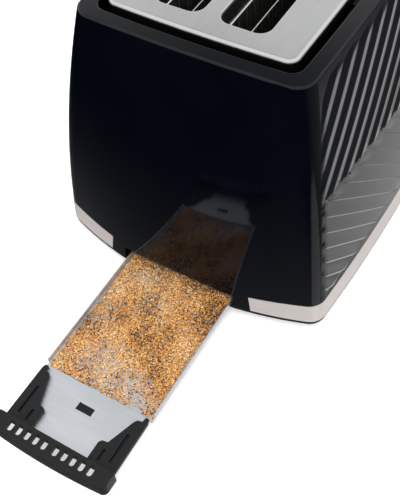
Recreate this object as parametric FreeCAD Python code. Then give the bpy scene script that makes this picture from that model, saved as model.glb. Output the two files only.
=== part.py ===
"""Two-slice pop-up toaster with a crumb tray that pulls out of one end.

Frame: millimetres, X across the body, Y along it, Z up. The lever end is -Y, the
tray end is +Y, and the origin is on the table under the middle of the body.
The rest state has the lever up and the crumb tray pulled out.
"""
import FreeCAD, Part
import math
import os

V = FreeCAD.Vector
X_AXIS, Y_AXIS, Z_AXIS = V(1, 0, 0), V(0, 1, 0), V(0, 0, 1)

# --- Driving dimensions of the body: bottom, middle and rim of the shell ---
BODY_BOTTOM, RIM_Z = 9.6, 174.6
HALF_WIDTH = (91.0, 82.7, 67.6)
HALF_LENGTH = (128.0, 125.5, 116.8)
SIDE_SAG = (6.3, 2.4)
END_SAG = (16.8, 1.5)
CORNER_R = 11.0
WALL = 2.4
FAR = 300.0  # past every side of the model, for cutters

# --- Rim, top plate and bread slots ---
RIM_THICKNESS, RIM_SKIRT_Z = 2.4, 158.0
RIM_OPENING = (58.6, 108.2)
RIM_ROUND = (1.4, 0.8)
MOUTH_CORNER, SKIRT_WALL, MOUTH_EDGE_GAP = 7.0, 1.6, 6.0
PLATE_TOP, PLATE_SHEET, PLATE_SKIRT = 176.9, 1.0, 8.0
PLATE_HALF = (54.8, 103.9)
SLOT_X, SLOT_Y = (5.0, 33.3), (-58.0, 92.0)
SLOT_R, SLOT_FLANGE, SLOT_LIP = 7.0, 4.0, 0.7
PLATE_SAG, PLATE_CORNER, PLATE_ROUND = (1.4, 1.3), 6.5, 2.0
CLIP_SIZE, CLIP_Z, CLIP_SIDE_Y = (12.0, 4.3), (166.0, 167.2, 171.0), 40.0

# --- Accent strips and base ---
STRIP_Z, STRIP_END_X, STRIP_END_TOP, STRIP_FULL_X = (10.4, 25.9), (50.8, 49.0), 22.3, 88.0
STRIP_PROUD, STRIP_SEAT = 0.3, 0.9
BASE_Z, BASE_FLOOR = 5.0, 6.8
BASE_INSET, BASE_BAND = (2.6, 0.3), 2.4
BASE_HOLLOW_INSET = 8.0
VENT_COUNT, VENT_HALF, VENT_FIRST, VENT_PITCH, VENT_WIDTH = 6, 30.0, -40.0, 18.0, 4.0
FOOT_XY, FOOT_R, FOOT_TAPER = (68.0, 98.0), 9.0, 1.2
SCREW_X, SCREW_BEHIND, SCREW_TOP = 50.0, 7.0, 10.5
SCREW_HOLE, SCREW_R, SCREW_HEAD = 1.8, 1.6, (3.2, 1.3)
SCREW_DRIVE = (2.4, 0.5, 0.6)

# --- Toasting chamber ---
CHAMBER_Y, SHEET = (-64.0, 97.0), 0.8
CHAMBER_HALF, CHAMBER_LOW = 48.0, 24.0
CARD_X, CARD_T, CARD_Z = 38.0, 0.8, (34.0, 168.0)
SHIELD_X, SHIELD_Z = 46.0, (28.0, 172.0)
SHIELD_SLOTS, SHIELD_FIRST, SHIELD_PITCH, SHIELD_WIDTH, SHIELD_SLOT_Z = 7, -50.0, 22.0, 5.0, (60.0, 150.0)
LEG_X, LEG_FLANGE_X, LEG_FLANGE = 42.0, 56.0, (13.0, 1.2)
RIBBON_PITCH, RIBBON_WIDTH, RIBBON_T, RIBBON_COUNT, RIBBON_MARGIN = 9.0, 2.2, 0.35, 17, (7.0, 8.0)
GUIDE_X, GUIDE_Z, GUIDE_WIRE = (6.5, 31.8), (42.0, 166.0), 0.9
GUIDE_BAR, GUIDE_PIN, GUIDE_WIRES = (1.1, 0.8), 6.0, 7
GUIDE_PLAY, GUIDE_SHIFT = (1.5, 1.4), 5.0
SLICE_X = 19.2

# --- Carriage, rod, spring and lever ---
TRAVEL = 48.0
LIFTER_Z, LIFTER_Y = (97.0, 104.0), (-94.0, 100.0)
CROSS_COUNT, CROSS_FIRST, CROSS_PITCH, CROSS_HALF, CROSS_R = 7, -48.0, 22.0, 7.6, 1.0
ROD_Y, ROD_R, ROD_TOP = -102.0, 2.5, 156.0
CARRIAGE_Z, CARRIAGE_HALF, WEB_HALF, BUSH_R = (92.0, 112.0), 24.0, 5.0, 6.0
LEVER_Z, LEVER_HALF, KNOB_BACK = (138.0, 146.0), 1.5, -136.5
KNOB_HALF, KNOB_DEPTH, KNOB_ROUND, KNOB_GRIP = 17.0, 14.0, 4.0, 8.0
LEVER_SLOT_HALF, LEVER_SLOT_Z = 2.6, (88.0, 148.0)
ARMATURE_HALF, ARMATURE_FRONT, ARMATURE_RISE, ARMATURE_T = 10.0, -72.0, 7.0, 2.0
SPRING_R, SPRING_WIRE, SPRING_TURNS = 4.3, 0.6, 13
BRACKET_T, ROD_SHELF_HALF, ROD_SHELF_DROP = 1.5, 9.0, 12.0
MAGNET_SHELF_HALF, MAGNET_SHELF_Z, MAGNET_SHELF_Y = 13.0, (22.0, 23.5, 36.0), -90.0
MAGNET_Y, MAGNET_HALF, POLE_HALF, POLE_SIDE = (-86.0, -73.0), 9.0, 3.0, 2.5
YOKE_TOP, MAGNET_TOP = 27.0, 50.4
COIL_HALF, COIL_Y, COIL_Z, COIL_ROUND = 6.0, (-88.5, -70.5), (28.0, 48.0), 1.5

# --- Controls ---
BOARD_Y, BOARD_TOP, BOARD_HALF, BOARD_T = -116.0, 84.0, 46.0, 1.6
DIAL_Z, DIAL_R, POCKET_FLOOR, DIAL_FRONT = 50.0, 14.2, -136.6, -147.5
DIAL_GAP, DIAL_EDGE, DIAL_SHAFT_R, SHAFT_HOLE_R = 1.0, 1.2, 3.0, 3.4
FLUTE_COUNT, FLUTE_R, FLUTE_DEPTH = 24, 0.7, 6.0
GRIP_HALF, GRIP_PROUD, GRIP_ROUND = (2.6, 12.0), 5.0, 1.4
MARK_HALF, MARK_Z, MARK_DEPTH = 0.6, (3.0, 10.5), 0.5
BOSS_WALL, BOSS_FLOOR = 2.4, 3.2
POT_HALF, SWITCH_HALF, SWITCH_PIN = 8.0, 3.0, (1.6, 0.6)
BUTTON_Z, BUTTON_PITCH, BUTTON_SIZE = 77.0, 22.0, (15.0, 8.4)
BUTTON_FACE, BUTTON_BACK, BUTTON_CORNER, BUTTON_EDGE, BUTTON_PLAY = -139.6, -131.5, 2.0, 0.8, 0.4
BUTTON_FLANGE_HALF, BUTTON_FLANGE_Y, BUTTON_STEM_R = (9.0, 5.6), (-131.9, -130.8), 2.0
WINDOW_Y = (-150.0, -125.0)
GLAND_Z, GLAND_R, GLAND_BORE = 17.0, 5.0, 3.3
GLAND_FLANGE, GLAND_PROUD, GLAND_SEAT, GLAND_DEPTH = 1.8, 1.5, 0.3, 6.0

# --- Crumb tray, drawn where it rests: pulled out ---
TRAY_Y, TRAY_FOLD, TRAY_HALF = (74.0, 270.0), 231.0, 37.4
TRAY_Z, TRAY_SHEET, TRAY_LIP = 7.4, 0.6, 12.0
BAR_Y, BAR_Z, BAR_HALF = (268.9, 281.0), (7.6, 18.0), 38.6
BAR_WALL, BAR_BOW, BAR_CORNER, BAR_EDGE, BAR_BACK = 2.4, 420.0, 3.5, 0.9, 1.6
TRAY_STEP, TRAY_PLATE_INSET = 1.6, 1.6
LATCH_HOLE, LATCH_PAD = (5.3, (240.8, 245.6)), (7.0, (239.2, 247.2))
ARM_T, ARM_RECESS = 2.6, 1.2
ARM_GROOVES, GROOVE_HALF = ((31.2, 245.0, 263.6), (24.6, 258.4, 265.6)), 0.9
HOLE_COUNT, HOLE_FIRST, HOLE_PITCH = 5, 3.85, 5.75
HOLE_HALF, HOLE_Y, HOLE_R = 1.7, (271.0, 277.0), 1.4
DOOR_HALF, DOOR_TOP, DOOR_INSIDE = 39.3, 18.6, 110.0
DOOR_RELIEF, LINTEL_Y, LINTEL_GROWTH = (3.4, 4.2, 5.6), (132.0, 160.0), (2.0, 9.0)
RAIL_Y, RAIL_X, RAIL_LIP = (-62.0, 120.0), (0.5, 3.6), (1.6, 0.6, 1.2, 1.8)


def blend(z, triple):
    """Smooth value at height z from the values at the bottom, middle and rim."""
    t = (z - BODY_BOTTOM) / (RIM_Z - BODY_BOTTOM)
    low, mid, high = triple
    return low * (1 - t) * (1 - 2 * t) + 4 * mid * t * (1 - t) + high * t * (2 * t - 1)


def straight(z, pair):
    t = (z - BODY_BOTTOM) / (RIM_Z - BODY_BOTTOM)
    return pair[0] + (pair[1] - pair[0]) * t


def box(x, y, z):
    return Part.makeBox(x[1] - x[0], y[1] - y[0], z[1] - z[0], V(x[0], y[0], z[0]))


def rod(start, end, radius):
    line = V(*end) - V(*start)
    return Part.makeCylinder(radius, line.Length, V(*start), line)


def fused(solids):
    return solids[0].multiFuse(solids[1:]).removeSplitter() if len(solids) > 1 else solids[0]


def mirrored_x(shape):
    return shape.mirror(V(0, 0, 0), X_AXIS)


def slab(points, z0, z1):
    """Prism on a polygon in plan."""
    ring = [V(x, y, z0) for x, y in points]
    face = Part.Face(Part.makePolygon(ring + ring[:1]))
    return face.extrude(V(0, 0, z1 - z0))


def arc(a, mid, b):
    return Part.Arc(a, mid, b).toShape()


def crowned_ring(z, half, sag, corner, inset=0.0):
    """Plan outline of four bowed sides and four round corners, moved in by inset."""
    (hw, hl), (side, end) = half, sag
    r_end, r_side = (hw * hw + end * end) / (2 * end), (hl * hl + side * side) / (2 * side)
    c_end, c_side = V(0, hl + end - r_end, z), V(hw + side - r_side, 0, z)
    gap = c_end - c_side
    a, b = r_side - corner, r_end - corner
    along = (a * a - b * b + gap.Length ** 2) / (2 * gap.Length)
    across = math.sqrt(a * a - along * along)
    unit = V(gap.x / gap.Length, gap.y / gap.Length, 0)
    q = c_side + unit * along + V(-unit.y, unit.x, 0) * across
    out_end, out_side = (q - c_end).normalize(), (q - c_side).normalize()
    t_end, t_side = c_end + out_end * (r_end - inset), c_side + out_side * (r_side - inset)
    bend = q + (out_end + out_side).normalize() * (corner - inset)

    def flip(p, sx, sy):
        return V(p.x * sx, p.y * sy, p.z)

    edges = []
    for sx, sy in ((1, 1), (-1, 1), (-1, -1), (1, -1)):
        first, last = (t_side, t_end) if sx * sy > 0 else (t_end, t_side)
        edges.append(arc(flip(first, sx, sy), flip(bend, sx, sy), flip(last, sx, sy)))
        if sx * sy > 0:
            mid = V(0, (hl + end - inset) * sy, z)
            edges.append(arc(flip(t_end, sx, sy), mid, flip(t_end, -sx, sy)))
        else:
            mid = V((hw + side - inset) * sx, 0, z)
            edges.append(arc(flip(t_side, sx, sy), mid, flip(t_side, sx, -sy)))
    return Part.Wire(edges)


def body_ring(z, inset=0.0):
    half = (blend(z, HALF_WIDTH), blend(z, HALF_LENGTH))
    return crowned_ring(z, half, (straight(z, SIDE_SAG), straight(z, END_SAG)), CORNER_R, inset)


def body_solid(z0, z1, inset=0.0, steps=5):
    levels = [z0 + (z1 - z0) * i / (steps - 1) for i in range(steps)]
    return Part.makeLoft([body_ring(z, inset) for z in levels], True, False)


def face_y(z, x=0.0):
    """How far the end of the body stands out at height z, x off the centre line."""
    hw, sag = blend(z, HALF_WIDTH), straight(z, END_SAG)
    radius = (hw * hw + sag * sag) / (2 * sag)
    return blend(z, HALF_LENGTH) + sag - radius + math.sqrt(radius * radius - x * x)


def rounded_slot(x, y, z, radius):
    """Upright block with four round corners."""
    block = box(x, y, z)
    upright = [e for e in block.Edges if abs(e.Vertexes[0].Z - e.Vertexes[1].Z) > 0.5 * (z[1] - z[0])]
    return block.makeFillet(radius, upright)


# --- Housing ---
def strip_ring(outer_inset, inner_inset):
    """Band round the foot of the shell; it tapers towards a gap in the middle of each end."""
    outer = body_solid(*STRIP_Z, outer_inset, 3)
    band = outer.cut(body_solid(*STRIP_Z, inner_inset, 3))
    half = [(STRIP_END_X[0], STRIP_Z[0]), (STRIP_END_X[1], STRIP_END_TOP), (STRIP_FULL_X, STRIP_Z[1]),
            (STRIP_FULL_X, FAR)]
    profile = [V(x, -FAR, z) for x, z in half] + [V(-x, -FAR, z) for x, z in reversed(half)]
    return band.cut(Part.Face(Part.makePolygon(profile + profile[:1])).extrude(V(0, 2 * FAR, 0)))


def door_cutter():
    """The tray's way out of the shell, with a sloped relief above it."""
    way = box((-DOOR_HALF, DOOR_HALF), (DOOR_INSIDE, FAR), (BASE_FLOOR + 0.2, DOOR_TOP))
    depth, slope, height = DOOR_RELIEF
    relief_in, relief_up = face_y(DOOR_TOP) - depth, DOOR_TOP + height
    side = [V(0, relief_in, DOOR_TOP), V(0, relief_in + slope, relief_up), V(0, FAR, relief_up),
            V(0, FAR, DOOR_TOP)]
    wedge = Part.Face(Part.makePolygon(side + side[:1])).extrude(V(2 * DOOR_HALF, 0, 0))
    wedge.translate(V(-DOOR_HALF, 0, 0))
    return way.fuse(wedge)


def control_cutter():
    """Lever slot, dial pocket and button windows in the lever end."""
    slot = box((-LEVER_SLOT_HALF, LEVER_SLOT_HALF), (-FAR, ROD_Y - 8), LEVER_SLOT_Z)
    dial = rod((0, -FAR, DIAL_Z), (0, POCKET_FLOOR, DIAL_Z), DIAL_R + DIAL_GAP)
    shaft = rod((0, -FAR, DIAL_Z), (0, BOARD_Y - 4, DIAL_Z), SHAFT_HOLE_R)
    windows = [button_block(side, BUTTON_PLAY, *WINDOW_Y) for side in (-1, 0, 1)]
    return slot.multiFuse([dial, shaft] + windows)


def button_block(side, growth, y0, y1):
    w, h = BUTTON_SIZE[0] / 2 + growth, BUTTON_SIZE[1] / 2 + growth
    block = box((-w, w), (y0, y1), (-h, h))
    edges = [e for e in block.Edges if abs(e.Vertexes[0].Y - e.Vertexes[1].Y) > 1]
    block = block.makeFillet(BUTTON_CORNER + growth, edges)
    block.translate(V(side * BUTTON_PITCH, 0, BUTTON_Z))
    return block


def shell():
    outer = body_solid(BODY_BOTTOM, RIM_Z)
    hollow = body_solid(BODY_BOTTOM, RIM_Z, WALL)
    hollow = hollow.common(box((-FAR, FAR), (-FAR, FAR), (0, RIM_Z - RIM_THICKNESS)))
    walls = outer.cut(hollow)
    mouth = rim_block(0.0, RIM_SKIRT_Z - 20, RIM_Z + 5)
    skirt = rim_block(SKIRT_WALL, RIM_SKIRT_Z, RIM_Z - 0.5).cut(mouth)
    solid = walls.cut(mouth).multiFuse([skirt, dial_boss().common(outer)])
    half, top = DOOR_HALF + LINTEL_GROWTH[0], DOOR_TOP + LINTEL_GROWTH[1]
    solid = solid.fuse(box((-half, half), LINTEL_Y, (DOOR_TOP, top)).common(outer))
    cutters = [door_cutter(), control_cutter(), gland_cutter(), strip_ring(-2.0, STRIP_SEAT)]
    for cutter in cutters:
        solid = solid.cut(cutter)
    return soft_rim(solid)


def dial_boss():
    """Thick ring and floor round the dial's pocket."""
    return rod((0, -FAR, DIAL_Z), (0, POCKET_FLOOR + BOSS_FLOOR, DIAL_Z), DIAL_R + DIAL_GAP + BOSS_WALL)


def soft_rim(solid):
    """Rounds the rim's outer and inner top edges."""
    for radius, inner in zip(RIM_ROUND, (False, True)):
        top = [e for e in solid.Edges if min(v.Z for v in e.Vertexes) > RIM_Z - 0.01]
        edges = [e for e in top if near_mouth(e.CenterOfMass) == inner]
        solid = solid.makeFillet(radius, edges)
    return solid


def near_mouth(point):
    """True on the edge of the rim's mouth, false on the rim's outer edge."""
    half_x, half_y = (half + MOUTH_EDGE_GAP for half in RIM_OPENING)
    return abs(point.x) < half_x and abs(point.y) < half_y


def rim_block(growth, z0, z1):
    """Block through the rim's mouth, grown outwards."""
    half = (RIM_OPENING[0] + growth, RIM_OPENING[1] + growth)
    wire = crowned_ring(z0, half, (SIDE_SAG[1], END_SAG[1]), MOUTH_CORNER + growth)
    return Part.Face(wire).extrude(V(0, 0, z1 - z0))


def base():
    low, lip = body_ring(BODY_BOTTOM, BASE_INSET[0]), body_ring(BODY_BOTTOM, BASE_INSET[1])
    low.translate(V(0, 0, BASE_Z - BODY_BOTTOM))
    lip.translate(V(0, 0, -BASE_BAND))
    flare = Part.makeLoft([low, lip], True, True)
    band = Part.Face(body_ring(BODY_BOTTOM, BASE_INSET[1])).extrude(V(0, 0, -BASE_BAND))
    hollow = Part.Face(body_ring(BODY_BOTTOM, BASE_HOLLOW_INSET)).extrude(V(0, 0, BASE_FLOOR - BODY_BOTTOM))
    way = box((-DOOR_HALF, DOOR_HALF), (DOOR_INSIDE, FAR), (BASE_FLOOR, FAR))
    pan = flare.fuse(band).cut(hollow).cut(way)
    for sx, y in screw_places():
        pan = pan.cut(screw_hole(sx, y))
    for i in range(VENT_COUNT):
        y = VENT_FIRST + VENT_PITCH * i
        pan = pan.cut(box((-VENT_HALF, VENT_HALF), (y, y + VENT_WIDTH), (0, FAR)))
    return pan


def screw_places():
    ys = (CHAMBER_Y[0] - SCREW_BEHIND, CHAMBER_Y[1] + SCREW_BEHIND)
    return [(sx, y) for sx in (-1, 1) for y in ys]


def screw_hole(sx, y):
    return rod((sx * SCREW_X, y, 0), (sx * SCREW_X, y, 2 * SCREW_TOP), SCREW_HOLE)


def top_plate():
    def block(shrink, z0, z1):
        half = (PLATE_HALF[0] - shrink, PLATE_HALF[1] - shrink)
        wire = crowned_ring(z0, half, PLATE_SAG, PLATE_CORNER - shrink)
        return Part.Face(wire).extrude(V(0, 0, z1 - z0))

    low = PLATE_TOP - PLATE_SKIRT
    plate = block(0.0, low, PLATE_TOP)
    top_edges = [e for e in plate.Edges if min(v.Z for v in e.Vertexes) > PLATE_TOP - 0.1]
    plate = plate.makeFillet(PLATE_ROUND, top_edges)
    plate = plate.cut(block(PLATE_SHEET, low - 1, PLATE_TOP - PLATE_SHEET))
    for sx in (-1, 1):
        xs = sorted((sx * SLOT_X[0], sx * SLOT_X[1]))
        grown = (xs[0] - SHEET, xs[1] + SHEET), (SLOT_Y[0] - SHEET, SLOT_Y[1] + SHEET)
        deep = (PLATE_TOP - SLOT_FLANGE, PLATE_TOP - 0.2)
        flange = rounded_slot(grown[0], grown[1], deep, SLOT_R + SHEET)
        plate = plate.fuse(flange)
        plate = plate.cut(rounded_slot(xs, SLOT_Y, (PLATE_TOP - 30, PLATE_TOP + 5), SLOT_R))
    lips = [e for e in plate.Edges if min(v.Z for v in e.Vertexes) > PLATE_TOP - 0.1
            and abs(e.CenterOfMass.x) < SLOT_X[1] + 1 and SLOT_Y[0] - 1 < e.CenterOfMass.y < SLOT_Y[1] + 1]
    return plate.makeFillet(SLOT_LIP, lips)


def plate_clip(place, along_x):
    """Steel tab that bridges the gap between the top plate and the rim's skirt."""
    x, y = place
    half = [side / 2 for side in (CLIP_SIZE if along_x else reversed(CLIP_SIZE))]
    tab = box((x - half[0], x + half[0]), (y - half[1], y + half[1]), CLIP_Z[:2])
    stop = box((x - half[0] / 2, x + half[0] / 2), (y - half[1] / 2, y + half[1] / 2), CLIP_Z[1:])
    return tab.fuse(stop)


def foot(sx, sy):
    x, y = sx * FOOT_XY[0], sy * FOOT_XY[1]
    return Part.makeCone(FOOT_R - FOOT_TAPER, FOOT_R, BASE_Z, V(x, y, 0), Z_AXIS)


def chassis_screw(sx, y):
    x, (radius, height) = sx * SCREW_X, SCREW_HEAD
    length, width, cover = SCREW_DRIVE
    head = rod((x, y, BASE_Z - height), (x, y, BASE_Z), radius)
    head = head.cut(box((x - length, x + length), (y - width, y + width), (0, BASE_Z - cover)))
    return head.fuse(rod((x, y, BASE_Z), (x, y, SCREW_TOP), SCREW_R))


def cord_gland():
    """Flanged bush for the cord, low in the middle of the lever end."""
    out = -face_y(GLAND_Z)
    front = (0, out - GLAND_PROUD, GLAND_Z)
    collar = rod(front, (0, out + GLAND_DEPTH, GLAND_Z), GLAND_R)
    flange = rod(front, (0, out - GLAND_SEAT, GLAND_Z), GLAND_R + GLAND_FLANGE)
    return collar.fuse(flange).cut(rod((0, -FAR, GLAND_Z), (0, BOARD_Y, GLAND_Z), GLAND_BORE))


def gland_cutter():
    out = -face_y(GLAND_Z)
    seat = rod((0, -FAR, GLAND_Z), (0, out - GLAND_SEAT, GLAND_Z), GLAND_R + GLAND_FLANGE)
    return seat.fuse(rod((0, -FAR, GLAND_Z), (0, BOARD_Y, GLAND_Z), GLAND_R))


# --- Chamber ---
def end_plate(y, foot_side):
    """Pressed sheet across the chamber, on two legs that straddle the tray."""
    sheet = box((-CHAMBER_HALF, CHAMBER_HALF), (y, y + SHEET), (CHAMBER_LOW, PLATE_TOP - PLATE_SHEET))
    through = (y - 5, y + 5)
    for sx in (-1, 1):
        sheet = sheet.fuse(end_plate_leg(sx, y, foot_side))
        run = sorted((sx * (SLICE_X - 2), sx * (SLICE_X + 2)))
        sheet = sheet.cut(box(run, through, (LIFTER_Z[0] - TRAVEL - 2, LIFTER_Z[1] + 2)))
        for gx in GUIDE_X:
            shift = GUIDE_SHIFT if gx == GUIDE_X[0] else -GUIDE_SHIFT
            slot = sorted((sx * (gx - math.copysign(GUIDE_PLAY[0], shift)), sx * (gx + shift)))
            for gz in GUIDE_Z:
                sheet = sheet.cut(box(slot, through, (gz - GUIDE_PLAY[1], gz + GUIDE_PLAY[1])))
    return sheet


def end_plate_leg(sx, y, foot_side):
    """Leg beside the tray, with a screwed flange on the base."""
    leg = box(sorted((sx * LEG_X, sx * CHAMBER_HALF)), (y, y + SHEET), (BASE_FLOOR, CHAMBER_LOW))
    reach, thickness = LEG_FLANGE
    middle = y + SHEET / 2
    flange_y = sorted((middle, middle + foot_side * reach))
    flange_x = sorted((sx * LEG_X, sx * LEG_FLANGE_X))
    flange = box(flange_x, flange_y, (BASE_FLOOR, BASE_FLOOR + thickness))
    return leg.fuse(flange.cut(screw_hole(sx, y + foot_side * SCREW_BEHIND)))


def heat_shield(sx):
    xs = sorted((sx * SHIELD_X, sx * (SHIELD_X + SHEET)))
    sheet = box(xs, (CHAMBER_Y[0] + SHEET, CHAMBER_Y[1]), SHIELD_Z)
    for i in range(SHIELD_SLOTS):
        y = SHIELD_FIRST + i * SHIELD_PITCH
        sheet = sheet.cut(box((-FAR, FAR), (y, y + SHIELD_WIDTH), SHIELD_SLOT_Z))
    return sheet


def heater_card(x):
    ys = (CHAMBER_Y[0] + SHEET, CHAMBER_Y[1])
    return box((x - CARD_T / 2, x + CARD_T / 2), ys, CARD_Z)


def heater_ribbon(x, side):
    """Flat resistance ribbon that runs up and down one face of a card."""
    face = x + side * CARD_T / 2
    xs = sorted((face, face + side * RIBBON_T))
    low, high = CARD_Z[0] + RIBBON_MARGIN[1], CARD_Z[1] - RIBBON_MARGIN[1]
    first = CHAMBER_Y[0] + RIBBON_MARGIN[0]
    pieces = []
    for i in range(RIBBON_COUNT):
        y = first + i * RIBBON_PITCH
        pieces.append(box(xs, (y, y + RIBBON_WIDTH), (low, high)))
        if i + 1 < RIBBON_COUNT:
            z = (high - RIBBON_WIDTH, high) if i % 2 == 0 else (low, low + RIBBON_WIDTH)
            pieces.append(box(xs, (y, y + RIBBON_PITCH + RIBBON_WIDTH), z))
    return fused(pieces)


def bread_guide(sx, which):
    """Wire grill beside a slice: lengthwise wires on two flat uprights, with end pins."""
    x = sx * GUIDE_X[which]
    ends = (CHAMBER_Y[0] + 4, CHAMBER_Y[1] - 3)
    across, depth = GUIDE_BAR
    solids = []
    for y in ends:
        solids.append(box((x - across, x + across), (y - depth, y + depth), (GUIDE_Z[0] - 2, GUIDE_Z[1] + 2)))
    for k in range(GUIDE_WIRES):
        z = GUIDE_Z[0] + (GUIDE_Z[1] - GUIDE_Z[0]) * k / (GUIDE_WIRES - 1)
        pin = GUIDE_PIN if k in (0, GUIDE_WIRES - 1) else 0.0
        solids.append(rod((x, ends[0] - pin, z), (x, ends[1] + pin, z), GUIDE_WIRE))
    return fused(solids)


# --- Carriage ---
def lifter(sx):
    """Bar under one slice with cross wires that carry the bread."""
    x, z = sx * SLICE_X, LIFTER_Z[1] - 2 * CROSS_R
    bar = box((x - 1, x + 1), LIFTER_Y, LIFTER_Z)
    wires = []
    for i in range(CROSS_COUNT):
        y = CROSS_FIRST + i * CROSS_PITCH
        wires.append(rod((x - CROSS_HALF, y, z), (x + CROSS_HALF, y, z), CROSS_R))
    return fused([bar] + wires)


def carriage_bracket():
    """Sheet bracket with the rod's bush and the riser up to the lever."""
    back_y, web = LIFTER_Y[0], (-WEB_HALF, WEB_HALF)
    pieces = [
        box((-CARRIAGE_HALF, CARRIAGE_HALF), (back_y - 2, back_y), CARRIAGE_Z),
        box(web, (ROD_Y, back_y - 1), CARRIAGE_Z),
        rod((0, ROD_Y, CARRIAGE_Z[0]), (0, ROD_Y, CARRIAGE_Z[1]), BUSH_R),
        box(web, (ROD_Y - 8, ROD_Y - 5), (CARRIAGE_Z[0] + 6, LEVER_Z[1])),
        box((-LEVER_HALF, LEVER_HALF), (KNOB_BACK - KNOB_GRIP, ROD_Y - 6), LEVER_Z),
    ]
    return fused(pieces).cut(rod((0, ROD_Y, 0), (0, ROD_Y, CARRIAGE_Z[1] + 13), ROD_R + 0.4))


def armature():
    low = CARRIAGE_Z[0] + ARMATURE_RISE
    return box((-ARMATURE_HALF, ARMATURE_HALF), (LIFTER_Y[0], ARMATURE_FRONT), (low, low + ARMATURE_T))


def lever_knob():
    front = KNOB_BACK - KNOB_DEPTH
    cap = box((-KNOB_HALF, KNOB_HALF), (front, KNOB_BACK), (LEVER_Z[0] - 4, LEVER_Z[1] + 4))
    edges = [e for e in cap.Edges if all(v.Y < front + 1 for v in e.Vertexes)]
    cap = cap.makeFillet(KNOB_ROUND, edges)
    return cap.cut(box((-LEVER_HALF, LEVER_HALF), (KNOB_BACK - KNOB_GRIP, KNOB_BACK + 1), LEVER_Z))


def lift_spring():
    """Coil round the rod, under the carriage, drawn by a round wire along a helix."""
    low, high = BASE_FLOOR + 0.2, CARRIAGE_Z[0] - 0.2
    pitch = (high - low - 2 * SPRING_WIRE) / SPRING_TURNS
    path = Part.makeHelix(pitch, pitch * SPRING_TURNS, SPRING_R)
    profile = Part.Wire(Part.makeCircle(SPRING_WIRE, V(SPRING_R, 0, 0), Y_AXIS))
    coil = Part.Wire(path).makePipeShell([profile], True, True)
    coil.translate(V(0, ROD_Y, low + SPRING_WIRE))
    return coil


def guide_rod():
    return rod((0, ROD_Y, BASE_FLOOR), (0, ROD_Y, ROD_TOP), ROD_R)


def wall_tab(half, z):
    """Upright tab of a bracket against the front end plate."""
    return box((-half, half), (CHAMBER_Y[0] - BRACKET_T, CHAMBER_Y[0]), z)


def rod_bracket():
    half = ROD_SHELF_HALF
    shelf = box((-half, half), (ROD_Y - 4, CHAMBER_Y[0]), (ROD_TOP, ROD_TOP + BRACKET_T))
    return shelf.fuse(wall_tab(half, (ROD_TOP - ROD_SHELF_DROP, ROD_TOP)))


def magnet_bracket():
    half = MAGNET_SHELF_HALF
    shelf = box((-half, half), (MAGNET_SHELF_Y, CHAMBER_Y[0]), MAGNET_SHELF_Z[:2])
    return shelf.fuse(wall_tab(half, MAGNET_SHELF_Z[1:]))


def magnet_core():
    yoke = box((-MAGNET_HALF, MAGNET_HALF), MAGNET_Y, (MAGNET_SHELF_Z[1], YOKE_TOP))
    limbs = [(-POLE_HALF, POLE_HALF), (-MAGNET_HALF, POLE_SIDE - MAGNET_HALF),
             (MAGNET_HALF - POLE_SIDE, MAGNET_HALF)]
    return fused([yoke] + [box(xs, MAGNET_Y, (YOKE_TOP, MAGNET_TOP)) for xs in limbs])


def magnet_coil():
    body = box((-COIL_HALF, COIL_HALF), COIL_Y, COIL_Z)
    upright = [e for e in body.Edges if e.Length > COIL_Z[1] - COIL_Z[0] - 0.1]
    body = body.makeFillet(COIL_ROUND, upright)
    return body.cut(box((-POLE_HALF, POLE_HALF), MAGNET_Y, (0, FAR)))


# --- Controls ---
def control_board():
    return box((-BOARD_HALF, BOARD_HALF), (BOARD_Y, BOARD_Y + BOARD_T), (BASE_FLOOR, BOARD_TOP))


def dial_potentiometer():
    half = POT_HALF
    return box((-half, half), (BOARD_Y - half, BOARD_Y), (DIAL_Z - half, DIAL_Z + half))


def button_switch(side):
    x, half = side * BUTTON_PITCH, SWITCH_HALF
    radius, length = SWITCH_PIN
    body = box((x - half, x + half), (BOARD_Y - half, BOARD_Y), (BUTTON_Z - half, BUTTON_Z + half))
    pin = rod((x, BOARD_Y - half - length, BUTTON_Z), (x, BOARD_Y - half, BUTTON_Z), radius)
    return body.fuse(pin)


def browning_dial():
    """Fluted disc with a raised grip bar, on a shaft to the potentiometer."""
    back, front = POCKET_FLOOR - 0.4, DIAL_FRONT
    disc = rod((0, back, DIAL_Z), (0, front, DIAL_Z), DIAL_R)
    rim = [e for e in disc.Edges if all(abs(v.Y - front) < 0.1 for v in e.Vertexes)]
    disc = disc.makeFillet(DIAL_EDGE, rim)
    for i in range(FLUTE_COUNT):
        a = 2 * math.pi * i / FLUTE_COUNT
        x, z = DIAL_R * math.cos(a), DIAL_Z + DIAL_R * math.sin(a)
        disc = disc.cut(rod((x, front - 1, z), (x, front + FLUTE_DEPTH, z), FLUTE_R))
    half_x, half_z = GRIP_HALF
    grip = box((-half_x, half_x), (front - GRIP_PROUD, front + 1), (DIAL_Z - half_z, DIAL_Z + half_z))
    ends = [e for e in grip.Edges if all(v.Y < front - GRIP_PROUD + 1 for v in e.Vertexes)]
    grip = grip.makeFillet(GRIP_ROUND, ends)
    shaft = rod((0, back, DIAL_Z), (0, BOARD_Y - POT_HALF - 0.4, DIAL_Z), DIAL_SHAFT_R)
    return fused([disc, grip, shaft]).cut(pointer_block(0.5))


def pointer_block(proud):
    """Mark along the dial's grip, standing proud of the grip's face."""
    face, (low, high) = DIAL_FRONT - GRIP_PROUD, MARK_Z
    return box((-MARK_HALF, MARK_HALF), (face - proud, face + MARK_DEPTH), (DIAL_Z + low, DIAL_Z + high))


def dial_pointer():
    return pointer_block(0.1)


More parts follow.
